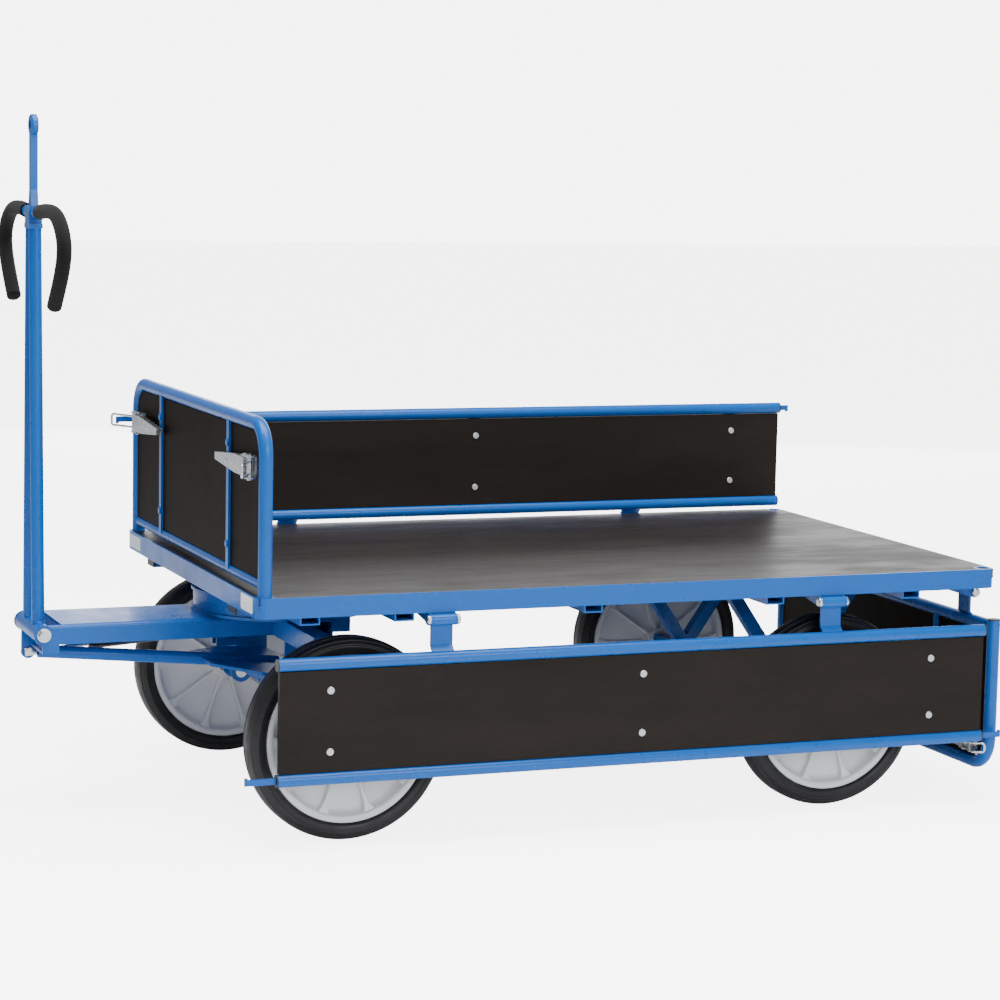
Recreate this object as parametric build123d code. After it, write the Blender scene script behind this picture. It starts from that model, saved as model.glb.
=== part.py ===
"""Four-wheeled platform hand truck with turntable steering and drop sides.

Millimetres. +X is forward, towards the drawbar, +Y is the truck's left and +Z is up.
The load bed is centred on the design axes while the pieces are built. Just before
export everything is moved so that the origin is on the floor, under the centre of
the whole truck.
"""
from build123d import *
import math
import os

# ---------------------------------------------------------------- driving dimensions
BED_LENGTH = 1600.0
BED_WIDTH = 1000.0
BED_HEIGHT = 490.0          # top of the load bed above the floor
RAIL_HEIGHT = 40.0
RAIL_WALL = 4.0
LEDGE_WIDTH = 30.0          # inward lip that carries the edge of the bed panel
BED_PANEL = 15.0            # thickness of the bed panel
PANEL_GAP = 0.5             # play round every plywood panel
WALL_PANEL = 12.0           # thickness of the wall and flap panels

SOCKET_R = 20.0             # corner socket tubes
SOCKET_BORE = 14.0
SOCKET_FLOOR = 4.0

BEAM_WIDTH = 50.0           # the two long chassis beams
BEAM_HEIGHT = 40.0
BEAM_WALL = 3.0
BEAM_Y = 314.0
CAP_THICK = 3.0
CROSS_WIDTH = 40.0

WHEEL_R = 200.0
WHEEL_WIDTH = 70.0
RIM_R = 165.0
HUB_R = 32.0
HUB_WIDTH = 74.0
TRACK = 850.0               # between the wheel centres
FRONT_AXLE_X = 600.0
REAR_AXLE_X = -447.0
AXLE_BEAM = 40.0
FRONT_BEAM = 45.0           # the front axle beam sits above its stub axles
FRONT_BEAM_Z = 240.0
STUB_R = 12.5
WASHER = 3.6

SIDE_HINGE_OUT = 7.0        # hinge axes outside the edge of the bed
REAR_HINGE_OUT = 13.5
SIDE_FLAP_IN = 4.0          # closed flap inside its hinge axis
REAR_FLAP_IN = -1.5
SIDE_HINGE_Z = 437.0
REAR_HINGE_Z = 424.0
BARREL_R = 11.0
BARREL_LENGTH = 46.0
HINGE_PIN_R = 6.0
STRAP_WIDTH = 45.0
STRAP_THICK = 5.0
SIDE_STRAPS = (430.0, -415.0)
REAR_STRAP_Y = 370.0

RAIL_R = 12.5               # side flap rails
RAIL_BORE = 10.5
FLAP_FRONT_X = 762.0
FLAP_REAR_X = -768.0
FLAP_LOW_Z = 510.0          # rail centres with the flap closed
FLAP_HIGH_Z = 733.0
STAY_X = (659.0, 8.0, -642.0)
STAY_WIDTH = 30.0
STAY_THICK = 5.0
TAB_THICK = 5.0
TAB_HEIGHT = 12.0
TAB_LIP = 3.0
RIGHT_FLAP_BACK = 24.0      # the right flap sits this much further back
FRONT_TAB_X = 826.0
REAR_TAB_X = -818.0

POST_R = 13.5               # front wall and rear flap tubes
POST_BORE = 11.0
POST_INSET = SOCKET_R
WALL_TOP_Z = 815.0
WALL_LOW_Z = 512.0
WALL_BEND = 60.0
CROSS_TUBE_R = 10.0
BAR_Y = 256.0
BAR_WIDTH = 16.0
BAR_THICK = 5.0
REAR_LEG_LOW_Z = 470.0      # rear flap closed
REAR_RAIL_Z = 483.0
REAR_TOP_Z = 782.0

SCREW_R = 3.0
SCREW_HEAD_R = 7.5
SCREW_HEAD = 3.0
RUNNING = 0.05              # radial clearance of every pin that turns

CHANNEL_HALF = 95.0
CHANNEL_WALL = 5.0
CHANNEL_HEIGHT = 40.0
CHANNEL_TOP = 387.0
CHANNEL_REAR_X = 480.0
TURNTABLE_R = 185.0
RACE_WIDTH = 10.0
RING_PLATE = 6.0
RACE_GAP = 0.4
KING_R = 12.0

NOSE_X = 1117.0             # drawbar pivot
NOSE_R = 20.0
PIVOT_TUBE_R = 19.0
PIVOT_BOLT_R = 8.0
SHAFT_R = 13.0
SHAFT_BORE = 10.5
SHAFT_FOOT_Y = 41.0
SHAFT_TOP_Y = 13.4
SHAFT_TOP_Z = 1165.0
STEM_TOP_Z = 1345.0
EYE_Z = 1367.0
EYE_R = 21.5
EYE_HOLE_R = 10.0
EYE_THICK = 14.0
HANDLE_R = 11.0
GRIP_R = 14.5
HANDLE_Z = 1196.0
HUB_HALF = 20.0             # half the width of the block that joins shafts, eye and handlebar
GRIP_START = 58.0
HANDLE_ROUTE = ((HUB_HALF, 1196.0), (80.0, 1200.0), (150.0, 1202.0), (222.0, 1188.0), (270.0, 1138.0),
                (244.0, 1082.0), (186.0, 1022.0))

STRUT_R = 13.0              # nose strut, on the centre line
STRUT_FRONT = (1108.0, 0.0, 319.0)
STRUT_REAR = (606.0, 0.0, 273.0)

LEVER_AHEAD = 4.0           # lever pin, from the drawbar pivot
LEVER_DROP = 54.0
LEVER_Y = -36.0
LEVER_THICK = 8.0
ANCHOR_X = 700.0
ANCHOR_Z = 345.0
SPRING_R = 11.0
SPRING_LENGTH = 290.0
ROD_R = 4.0
LEVER_PIN_R = 5.0

LATCH_OUT = 20.0            # latch pins in front of the post's centre line
CLAW_Y = 440.0
HANDLE_Y = 412.0
HANDLE_TIP_Y = 225.0
LATCH_PIN_R = 3.0
CLAW_TIP_Y = 514.0
CLAW_WIRE = 2.5
FRONT_CLAW_HALF = 12.0      # half the height of the claw, centre line
REAR_CLAW_HALF = 9.5
LATCH_HALF = 18.0
EAR_THICK = 3.0
FRONT_CLAW_REST = 28.0      # degrees off the closed position, at rest
REAR_CLAW_REST = 30.0

# ---------------------------------------------------------------- places that follow
HALF_L = BED_LENGTH / 2
HALF_W = BED_WIDTH / 2
RAIL_BOTTOM = BED_HEIGHT - RAIL_HEIGHT
PANEL_BOTTOM = BED_HEIGHT - BED_PANEL
BEAM_BOTTOM = PANEL_BOTTOM - BEAM_HEIGHT
POST_X = HALF_L - POST_INSET
POST_Y = HALF_W - POST_INSET
SIDE_HINGE_Y = HALF_W + SIDE_HINGE_OUT
SIDE_FLAP_Y = SIDE_HINGE_Y - SIDE_FLAP_IN
REAR_HINGE_X = -(HALF_L + REAR_HINGE_OUT)
REAR_FLAP_X = REAR_HINGE_X + REAR_FLAP_IN
CROSS_X = (REAR_AXLE_X - 155.0, REAR_AXLE_X + 157.0, 110.0, FRONT_AXLE_X - 95.0, FRONT_AXLE_X + 95.0)
CHANNEL_BOTTOM = CHANNEL_TOP - CHANNEL_HEIGHT
PIVOT_Z = CHANNEL_TOP - NOSE_R
LEVER_PIN = (NOSE_X + LEVER_AHEAD, LEVER_Y, PIVOT_Z - LEVER_DROP)
ANCHOR = (ANCHOR_X, LEVER_Y, ANCHOR_Z)
PARTS = {}


# ---------------------------------------------------------------- helpers
def block(x, y, z):
    """A box between two values on each axis."""
    size = [high - low for low, high in (x, y, z)]
    middle = [(high + low) / 2 for low, high in (x, y, z)]
    return Pos(*middle) * Box(*size)


def rod(start, end, radius, bore=0.0):
    """A round bar or tube between two points."""
    axis = Vector(*end) - Vector(*start)
    plane = Plane(origin=start, z_dir=axis)
    shape = extrude(plane * Circle(radius), axis.length)
    if bore:
        shape -= extrude(plane * Circle(bore), axis.length)
    return shape


def flat_bar(start, end, width, depth, across=(0, 1, 0)):
    """A rectangular bar between two points; depth is measured along across."""
    axis = Vector(*end) - Vector(*start)
    plane = Plane(origin=start, x_dir=across, z_dir=axis)
    return extrude(plane * Rectangle(depth, width), axis.length)


def bent(points, bend, radius, bore=0.0):
    """A round tube along straight runs joined by arcs."""
    path = FilletPolyline(*points, radius=bend)
    section = Plane(origin=path @ 0, z_dir=path % 0)
    shape = sweep(section * Circle(radius), path=path)
    if bore:
        shape -= sweep(section * Circle(bore), path=path)
    return shape


def prism(outline, plane, thickness):
    """A flat plate, extruded both ways from the plane of its outline."""
    face = make_face(plane * Polyline(*outline, close=True))
    return extrude(face, thickness / 2, both=True)


def mirrored(shapes, plane=Plane.XZ):
    return [shape.mirror(plane) for shape in shapes]


def turned(shapes, point, direction, degrees):
    return [shape.rotate(Axis(point, direction), degrees) for shape in shapes]


def keep(node, *shapes):
    """File the separate solids of one node."""
    found = PARTS.setdefault(node, [])
    for shape in shapes:
        found.extend(shape.solids())


def both_sides(node, *shapes):
    keep(node, *shapes, *mirrored(shapes))


def screw(head_at, direction, length, radius=SCREW_R):
    """A round-headed screw: the head stands out against the direction of its shank."""
    way = Vector(*direction)
    head = Vector(*head_at)
    shank = rod(tuple(head), tuple(head + way * length), radius)
    crown = rod(tuple(head - way * SCREW_HEAD), tuple(head), SCREW_HEAD_R)
    rim = crown.faces().sort_by(Axis(tuple(head), tuple(-way)))[-1].edges()
    return fillet(rim, SCREW_HEAD * 0.6) + shank


def drill(shape, at, direction, length, radius):
    way = Vector(*direction).normalized() * length
    start = Vector(*at) - way / 2
    return shape - rod(tuple(start), tuple(start + way), radius)


# ---------------------------------------------------------------- load bed
def deck_frame():
    """Angle rails with a ledge under the bed panel, and a socket tube at each corner."""
    wall = block((-HALF_L, HALF_L), (-HALF_W, HALF_W), (RAIL_BOTTOM, BED_HEIGHT))
    wall = fillet(wall.edges().filter_by(Axis.Z), SOCKET_R)
    inside = block((-HALF_L + RAIL_WALL, HALF_L - RAIL_WALL), (-HALF_W + RAIL_WALL, HALF_W - RAIL_WALL),
                   (RAIL_BOTTOM, BED_HEIGHT))
    wall -= fillet(inside.edges().filter_by(Axis.Z), SOCKET_R - RAIL_WALL)
    ledge = block((-HALF_L + RAIL_WALL, HALF_L - RAIL_WALL), (-HALF_W + RAIL_WALL, HALF_W - RAIL_WALL),
                  (PANEL_BOTTOM - RAIL_WALL, PANEL_BOTTOM))
    ledge -= block((-HALF_L + LEDGE_WIDTH, HALF_L - LEDGE_WIDTH), (-HALF_W + LEDGE_WIDTH, HALF_W - LEDGE_WIDTH),
                   (PANEL_BOTTOM - RAIL_WALL, PANEL_BOTTOM))
    for side in (-1, 1):
        ledge -= block((-HALF_L, HALF_L), (side * BEAM_Y - BEAM_WIDTH / 2 - PANEL_GAP,
                                           side * BEAM_Y + BEAM_WIDTH / 2 + PANEL_GAP),
                       (PANEL_BOTTOM - RAIL_WALL, PANEL_BOTTOM))
        for x in CROSS_X:
            ledge -= block((x - CROSS_WIDTH / 2, x + CROSS_WIDTH / 2), (side * HALF_W - LEDGE_WIDTH,
                                                                       side * HALF_W + LEDGE_WIDTH),
                           (PANEL_BOTTOM - RAIL_WALL, PANEL_BOTTOM)) & ledge
    frame = wall + ledge
    for x in (-POST_X, POST_X):
        for y in (-POST_Y, POST_Y):
            frame += rod((x, y, RAIL_BOTTOM), (x, y, BED_HEIGHT), SOCKET_R)
            frame -= rod((x, y, RAIL_BOTTOM + SOCKET_FLOOR), (x, y, BED_HEIGHT), SOCKET_BORE)
    keep("deck_frame", frame)


def bed_panel():
    reach_x = HALF_L - RAIL_WALL - PANEL_GAP
    reach_y = HALF_W - RAIL_WALL - PANEL_GAP
    panel = block((-reach_x, reach_x), (-reach_y, reach_y), (PANEL_BOTTOM, BED_HEIGHT))
    for x in (-POST_X, POST_X):
        for y in (-POST_Y, POST_Y):
            panel -= rod((x, y, PANEL_BOTTOM), (x, y, BED_HEIGHT), SOCKET_R + PANEL_GAP)
    keep("bed_panel", panel)


def chassis():
    """Two long box beams with end caps, and box cross members between them and the rails."""
    end = HALF_L - RAIL_WALL - CAP_THICK
    low, high = BEAM_Y - BEAM_WIDTH / 2, BEAM_Y + BEAM_WIDTH / 2
    beam = block((-end, end), (low, high), (BEAM_BOTTOM, PANEL_BOTTOM))
    beam -= block((-end, end), (low + BEAM_WALL, high - BEAM_WALL),
                  (BEAM_BOTTOM + BEAM_WALL, PANEL_BOTTOM - BEAM_WALL))
    both_sides("chassis_beams", beam)
    for side in (-1, 1):
        cap = block(sorted((side * end, side * (end + CAP_THICK))), (low, high), (BEAM_BOTTOM, PANEL_BOTTOM))
        both_sides("beam_end_caps", cap)
    for x in CROSS_X:
        span = (x - CROSS_WIDTH / 2, x + CROSS_WIDTH / 2)
        middle = block(span, (-low, low), (BEAM_BOTTOM, PANEL_BOTTOM))
        middle -= block((span[0] + BEAM_WALL, span[1] - BEAM_WALL), (-low, low),
                        (BEAM_BOTTOM + BEAM_WALL, PANEL_BOTTOM - BEAM_WALL))
        keep("cross_members", middle)
        outer = block(span, (high, HALF_W - RAIL_WALL), (BEAM_BOTTOM, PANEL_BOTTOM))
        outer -= block((span[0] + BEAM_WALL, span[1] - BEAM_WALL), (high, HALF_W),
                       (BEAM_BOTTOM + BEAM_WALL, PANEL_BOTTOM - BEAM_WALL))
        both_sides("cross_members", outer)


# ---------------------------------------------------------------- panels, bars and screws
def wall_panel(x, low, high, corner, reach):
    """An upright panel in a YZ plane with round top corners."""
    panel = block((x - WALL_PANEL / 2, x + WALL_PANEL / 2), (-reach, reach), (low, high))
    top = panel.edges().filter_by(Axis.X).group_by(Axis.Z)[-1]
    return fillet(top, corner)


def framed_wall(x, foot, low, high, low_r, outside):
    """A bent tube frame with a low cross tube and two flat bars, its panel and its screws.

    outside is +1 or -1: the side of the wall, along X, that carries the bars.
    """
    route = [(x, -POST_Y, foot), (x, -POST_Y, high), (x, POST_Y, high), (x, POST_Y, foot)]
    solid_loop = bent(route, WALL_BEND, POST_R)
    solid_cross = rod((x, -POST_Y, low), (x, POST_Y, low), low_r)
    frame = bent(route, WALL_BEND, POST_R, POST_BORE) + (solid_cross - solid_loop)
    panel = wall_panel(x, low + low_r + PANEL_GAP, high - POST_R - PANEL_GAP, WALL_BEND - POST_R,
                       POST_Y - POST_R - PANEL_GAP)
    back = x + outside * WALL_PANEL / 2
    front = back + outside * BAR_THICK
    screws = []
    for y in (-BAR_Y, BAR_Y):
        bar = block(sorted((back, front)), (y - BAR_WIDTH / 2, y + BAR_WIDTH / 2), (low, high))
        for z in (low + 50.0, high - 54.0):
            bar = drill(bar, (x, y, z), (1, 0, 0), 80.0, SCREW_R)
            panel = drill(panel, (x, y, z), (1, 0, 0), 80.0, SCREW_R)
            screws.append(screw((front, y, z), (-outside, 0, 0), BAR_THICK + WALL_PANEL))
        frame += bar - solid_loop - solid_cross
    return frame, panel, screws


# ---------------------------------------------------------------- hinges
def hinge(rail_z, flap_in, rail_r):
    """One flap hinge at the origin: its axis along X, the flap standing up, the bed towards -Y.

    The strap runs up the outer side of its barrel, then leans in to the flap's rail.
    Returns the strap with its barrel, the pin with its domed heads, and where the ears start.
    """
    half = BARREL_LENGTH / 2
    ear = 4.0
    gap = 0.4
    inner = HINGE_PIN_R + RUNNING
    wide = STRAP_WIDTH / 2
    outer = BARREL_R - STRAP_THICK / 2
    knee = rail_z - rail_r - outer - flap_in + 3.0
    upright = block((-wide, wide), (outer - STRAP_THICK / 2, BARREL_R), (0.0, knee))
    run = outer + flap_in
    lean = flat_bar((0, outer + 1.5, knee - 1.5), (0, outer - run, knee + run), STRAP_THICK, STRAP_WIDTH, (1, 0, 0))
    strap = rod((-half, 0, 0), (half, 0, 0), BARREL_R) + upright + lean
    strap -= rod((-half, -flap_in, rail_z), (half, -flap_in, rail_z), rail_r)
    strap -= rod((-half, 0, 0), (half, 0, 0), inner)
    pin = rod((-half - gap - ear, 0, 0), (half + gap + ear, 0, 0), HINGE_PIN_R)
    for side in (-1, 1):
        start = side * (half + gap + ear)
        head = rod((start, 0, 0), (start + side * 7.0, 0, 0), 10.0)
        rim = head.faces().sort_by(Axis.X)[0 if side < 0 else -1].edges()
        pin += fillet(rim, 4.0)
    return strap, pin, (half + gap, ear)


def bracket(ears, plate_top, reach, edge):
    """Two ears under a plate; reach runs inwards from the hinge axis and edge is the plate's outer end."""
    start, thick = ears
    shape = block((-start - thick, start + thick), (-reach, edge), (plate_top - 4.0, plate_top))
    for side in (-1, 1):
        middle = side * (start + thick / 2)
        outline = [(middle, -reach, plate_top), (middle, edge, plate_top), (middle, 2.0, BARREL_R - 0.3),
                   (middle, 2.0, -BARREL_R + 0.3), (middle, -6.0, -BARREL_R + 1.0), (middle, -reach, plate_top - 8.0)]
        ear = extrude(make_face(Polyline(*outline, close=True)), thick / 2, both=True)
        ear += rod((middle - thick / 2, 0, 0), (middle + thick / 2, 0, 0), BARREL_R)
        ear -= rod((middle - thick / 2, 0, 0), (middle + thick / 2, 0, 0), HINGE_PIN_R)
        shape += ear
    return shape


def side_hinges():
    strap, pin, ears = hinge(FLAP_LOW_Z - SIDE_HINGE_Z, SIDE_FLAP_IN, RAIL_R)
    base = bracket(ears, RAIL_BOTTOM - SIDE_HINGE_Z, 95.0, -SIDE_HINGE_OUT - 1.5)
    straps = []
    for x in SIDE_STRAPS:
        place = Pos(x, SIDE_HINGE_Y, SIDE_HINGE_Z)
        both_sides("hinge_brackets", place * base)
        both_sides("hinge_pins", place * pin)
        straps.append(place * strap)
    return straps


def rear_hinges():
    strap, pin, ears = hinge(REAR_RAIL_Z - REAR_HINGE_Z, REAR_FLAP_IN, RAIL_R)
    base = bracket(ears, RAIL_BOTTOM - REAR_HINGE_Z, 100.0, -REAR_HINGE_OUT)
    straps = []
    for y in (-REAR_STRAP_Y, REAR_STRAP_Y):
        place = Pos(REAR_HINGE_X, y, REAR_HINGE_Z) * Rot(0, 0, 90)
        keep("hinge_brackets", place * base)
        keep("hinge_pins", place * pin)
        straps.append(place * strap)
    return straps


# ---------------------------------------------------------------- latches
def latch(post_x, out, claw_half, hook):
    """One drop-side latch by the left post, closed, with the wall upright.

    out is +1 in front of the truck and -1 behind it. hook is how far the end of the
    claw turns back towards the truck. Returns the base with its pins, the handle, the
    claw and the place of the pins along X.
    """
    back = post_x + out * WALL_PANEL / 2
    axis_x = post_x + out * LATCH_OUT
    middle = FLAP_HIGH_Z
    ear_in = LATCH_HALF + 1.0
    base = block(sorted((back, back + out * EAR_THICK)), (HANDLE_Y - 22.0, CLAW_Y + 8.0),
                 (middle - ear_in - EAR_THICK, middle + ear_in + EAR_THICK))
    for side in (-1, 1):
        near = middle + side * ear_in
        base += block(sorted((back, axis_x + out * 7.0)), (HANDLE_Y - 9.0, CLAW_Y + 8.0),
                      sorted((near, near + side * EAR_THICK)))
    pins = []
    edge = ear_in + EAR_THICK
    for y in (CLAW_Y, HANDLE_Y):
        base = drill(base, (axis_x, y, middle), (0, 0, 1), 4 * edge, LATCH_PIN_R)
        pin = rod((axis_x, y, middle - edge), (axis_x, y, middle + edge), LATCH_PIN_R)
        for side in (-1, 1):
            top = middle + side * edge
            pin += rod((axis_x, y, top), (axis_x, y, top + side * 2.5), LATCH_PIN_R + 2.5)
        pins.append(pin)

    narrow, sheet = 7.0, 2.5
    butt = HANDLE_Y + 8.0

    def outline(inset):
        return [(0, butt - inset, middle - LATCH_HALF + inset), (0, butt - inset, middle + LATCH_HALF - inset),
                (0, HANDLE_Y - 50.0, middle + LATCH_HALF - inset), (0, HANDLE_TIP_Y + inset, middle + narrow - inset),
                (0, HANDLE_TIP_Y + inset, middle - narrow + inset),
                (0, HANDLE_Y - 50.0, middle - LATCH_HALF + inset)]

    low, high = sorted((axis_x - out * 5.0, axis_x + out * 8.0))
    shell = Pos(low, 0, 0) * extrude(make_face(Polyline(*outline(0.0), close=True)), high - low, dir=(1, 0, 0))
    hollow = extrude(make_face(Polyline(*outline(sheet), close=True)), high - low - sheet, dir=(1, 0, 0))
    shell -= Pos(low if out > 0 else low + sheet, 0, 0) * hollow
    lever = drill(shell, (axis_x, HANDLE_Y, middle), (0, 0, 1), 4 * LATCH_HALF, LATCH_PIN_R + RUNNING)

    low_arm, high_arm = middle - claw_half, middle + claw_half
    if hook:
        tip_x = axis_x - out * hook
        route = [(axis_x, CLAW_Y, low_arm), (axis_x, CLAW_TIP_Y, low_arm), (tip_x, CLAW_TIP_Y, low_arm),
                 (tip_x, CLAW_TIP_Y, high_arm), (axis_x, CLAW_TIP_Y, high_arm), (axis_x, CLAW_Y, high_arm)]
    else:
        route = [(axis_x, CLAW_Y, low_arm), (axis_x, CLAW_TIP_Y, low_arm), (axis_x, CLAW_TIP_Y, high_arm),
                 (axis_x, CLAW_Y, high_arm)]
    sleeve = (axis_x, CLAW_Y, middle - LATCH_HALF), (axis_x, CLAW_Y, middle + LATCH_HALF)
    claw = bent(route, 6.0, CLAW_WIRE) + rod(*sleeve, 6.0)
    claw -= rod(*sleeve, LATCH_PIN_R + RUNNING)
    return [base, *pins], [lever], [claw], axis_x


def latches():
    """Latches on the front wall. Returns those of the rear flap, for the flap to carry."""
    base, lever, claw, axis_x = latch(POST_X, 1, FRONT_CLAW_HALF, 0.0)
    both_sides("front_latch_bases", *base)
    claw = turned(claw, (axis_x, CLAW_Y, 0), (0, 0, 1), -FRONT_CLAW_REST)
    for side, shapes in (("left", (lever, claw)), ("right", (mirrored(lever), mirrored(claw)))):
        keep(f"latch_handle_front_{side}", *shapes[0])
        keep(f"latch_claw_front_{side}", *shapes[1])
    base, lever, claw, axis_x = latch(REAR_FLAP_X, -1, REAR_CLAW_HALF, LATCH_OUT + 7.0)
    claw = turned(claw, (axis_x, CLAW_Y, 0), (0, 0, 1), REAR_CLAW_REST)
    return base, lever, claw


# ---------------------------------------------------------------- flaps
def side_flap(back):
    """A flap on the left side, closed: rails, stays, tabs, panel, bolts and end caps.

    back moves all but the ends of the tabs towards the rear.
    """
    y = SIDE_FLAP_Y
    front_x, rear_x = FLAP_FRONT_X - back, FLAP_REAR_X - back
    low = rod((rear_x, y, FLAP_LOW_Z), (front_x, y, FLAP_LOW_Z), RAIL_R, RAIL_BORE)
    high = rod((rear_x, y, FLAP_HIGH_Z), (front_x, y, FLAP_HIGH_Z), RAIL_R, RAIL_BORE)
    panel_low = FLAP_LOW_Z + RAIL_R + PANEL_GAP
    panel_high = FLAP_HIGH_Z - RAIL_R - PANEL_GAP
    panel = block((rear_x + 2.0, front_x - 2.0), (y - WALL_PANEL / 2, y + WALL_PANEL / 2),
                  (panel_low, panel_high))
    face = y + WALL_PANEL / 2
    stays, bolts, caps, tabs = [], [], [], []
    for x in [place - back for place in STAY_X]:
        stay = block((x - STAY_WIDTH / 2, x + STAY_WIDTH / 2), (face, face + STAY_THICK), (FLAP_LOW_Z, FLAP_HIGH_Z))
        stay -= rod((rear_x, y, FLAP_LOW_Z), (front_x, y, FLAP_LOW_Z), RAIL_R)
        stay -= rod((rear_x, y, FLAP_HIGH_Z), (front_x, y, FLAP_HIGH_Z), RAIL_R)
        for z in (FLAP_LOW_Z + 52.0, FLAP_HIGH_Z - 52.0):
            stay = drill(stay, (x, y, z), (0, 1, 0), 80.0, SCREW_R)
            panel = drill(panel, (x, y, z), (0, 1, 0), 80.0, SCREW_R)
            bolts.append(screw((x, y - WALL_PANEL / 2, z), (0, 1, 0), WALL_PANEL + STAY_THICK))
        stays.append(stay)
    for x, way in ((front_x, 1), (rear_x, -1)):
        for z in (FLAP_LOW_Z, FLAP_HIGH_Z):
            plug = rod((x, y, z), (x + way * 2.5, y, z), RAIL_R)
            plug += rod((x, y, z), (x - way * 10.0, y, z), RAIL_BORE)
            if z == FLAP_HIGH_Z:
                plug -= block(sorted((x - way * 11.0, x + way * 3.0)), (y - TAB_THICK / 2, y + TAB_THICK / 2),
                              (z - TAB_HEIGHT / 2, z + TAB_HEIGHT / 2))
            caps.append(plug)
        end = FRONT_TAB_X if way > 0 else REAR_TAB_X
        tab = block(sorted((x - way * 30.0, end)), (y - TAB_THICK / 2, y + TAB_THICK / 2),
                    (FLAP_HIGH_Z - TAB_HEIGHT / 2, FLAP_HIGH_Z + TAB_HEIGHT / 2))
        tab += block(sorted((end - way * 6.0, end)), (y - TAB_THICK / 2, y + TAB_THICK / 2),
                     (FLAP_HIGH_Z - TAB_HEIGHT / 2 - TAB_LIP, FLAP_HIGH_Z + TAB_HEIGHT / 2))
        weld = rod((x - way * 12.0, y, FLAP_HIGH_Z), (x - way * 30.0, y, FLAP_HIGH_Z), RAIL_BORE)
        tabs.append(tab + weld)
    return {"rails": [low, high, *stays, *tabs], "panel": [panel], "bolts": bolts, "caps": caps}


def flaps():
    rear_base, rear_lever, rear_claw = latches()
    straps = side_hinges()
    hinge_at = (0, SIDE_HINGE_Y, SIDE_HINGE_Z)
    for name, shapes in {**side_flap(0.0), "straps": straps}.items():
        keep(f"left_flap_{name}", *turned(shapes, hinge_at, (1, 0, 0), 180))
    for name, shapes in {**side_flap(RIGHT_FLAP_BACK), "straps": straps}.items():
        keep(f"right_flap_{name}", *mirrored(shapes))

    frame, panel, screws = framed_wall(REAR_FLAP_X, REAR_LEG_LOW_Z, REAR_RAIL_Z, REAR_TOP_Z, RAIL_R, -1)
    caps = []
    for y in (-POST_Y, POST_Y):
        caps.append(rod((REAR_FLAP_X, y, REAR_LEG_LOW_Z - 2.5), (REAR_FLAP_X, y, REAR_LEG_LOW_Z), POST_R)
                    + rod((REAR_FLAP_X, y, REAR_LEG_LOW_Z), (REAR_FLAP_X, y, REAR_LEG_LOW_Z + 12.0), POST_BORE))
    straps = rear_hinges()
    rear = {"rear_flap_frame": [frame], "rear_flap_panel": [panel], "rear_flap_screws": screws,
            "rear_flap_caps": caps, "rear_flap_straps": straps,
            "rear_latch_bases": [*rear_base, *mirrored(rear_base)],
            "latch_handle_rear_left": rear_lever, "latch_handle_rear_right": mirrored(rear_lever),
            "latch_claw_rear_left": rear_claw, "latch_claw_rear_right": mirrored(rear_claw)}
    for name, shapes in rear.items():
        keep(name, *turned(shapes, (REAR_HINGE_X, 0, REAR_HINGE_Z), (0, 1, 0), 180))


def front_wall():
    frame, panel, screws = framed_wall(POST_X, RAIL_BOTTOM + SOCKET_FLOOR, WALL_LOW_Z, WALL_TOP_Z, CROSS_TUBE_R, 1)
    keep("front_wall_frame", frame)
    keep("front_wall_panel", panel)
    keep("front_wall_screws", *screws)


# ---------------------------------------------------------------- wheels and axles
def wheel(x, side):
    """A solid tyre on a ribbed plastic rim, centred on its axle."""
    half = WHEEL_WIDTH / 2
    tyre_outline = [(RIM_R, -half + 9.0), (RIM_R + 6.0, -half + 1.5), (RIM_R + 22.0, -half),
                    (WHEEL_R - 5.0, -half + 8.0), (WHEEL_R, -half + 22.0)]
    points = tyre_outline + [(r, -z) for r, z in reversed(tyre_outline)]
    tyre = revolve(make_face(Plane.XZ * Polyline(*points, close=True)), Axis.Z)
    rim_half = half - 12.0
    rim = Cylinder(RIM_R, 2 * rim_half) - Cylinder(RIM_R - 9.0, 2 * rim_half)
    rim += Cylinder(RIM_R - 4.0, 7.0)
    rim += Cylinder(HUB_R, HUB_WIDTH)
    for step in range(10):
        rib = Box(RIM_R - HUB_R - 6.0, 7.0, 2 * rim_half - 6.0)
        rib = Pos((RIM_R + HUB_R) / 2 - 2.0, 0, 0) * rib
        rim += Rot(0, 0, 36.0 * step) * rib
    rim -= Cylinder(STUB_R + RUNNING, HUB_WIDTH)
    place = Pos(x, side * TRACK / 2, WHEEL_R) * Rot(90, 0, 0)
    return place * tyre, place * rim


def stub_axle(node, x, inner):
    """Stub axles from inner outwards, each with a shoulder and a nut that hold its wheel."""
    reach = TRACK / 2 - HUB_WIDTH / 2 - WASHER - 0.4
    hub_out = TRACK / 2 + HUB_WIDTH / 2
    stub = rod((x, inner, WHEEL_R), (x, hub_out + 14.0, WHEEL_R), STUB_R)
    stub += rod((x, reach, WHEEL_R), (x, reach + WASHER, WHEEL_R), STUB_R + 8.0)
    nut = Pos(x, hub_out + 0.4, WHEEL_R) * Rot(-90, 0, 0) * extrude(RegularPolygon(19.0, 6), 11.0)
    both_sides(node, stub + nut)
    return reach


def strut_pair(x, y, top_z, foot_z, spread, size):
    """Two square legs in a V, from a chassis member down to the axle beam."""
    legs = []
    for way in (-1, 1):
        leg = flat_bar((x + way * (spread + 8.0), y, top_z + 20.0), (x - way * 12.0, y, foot_z - 22.0), size, size)
        leg &= block(sorted((x, x + way * 400.0)), (y - size, y + size), (foot_z, top_z))
        legs.append(leg)
    return legs


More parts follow.
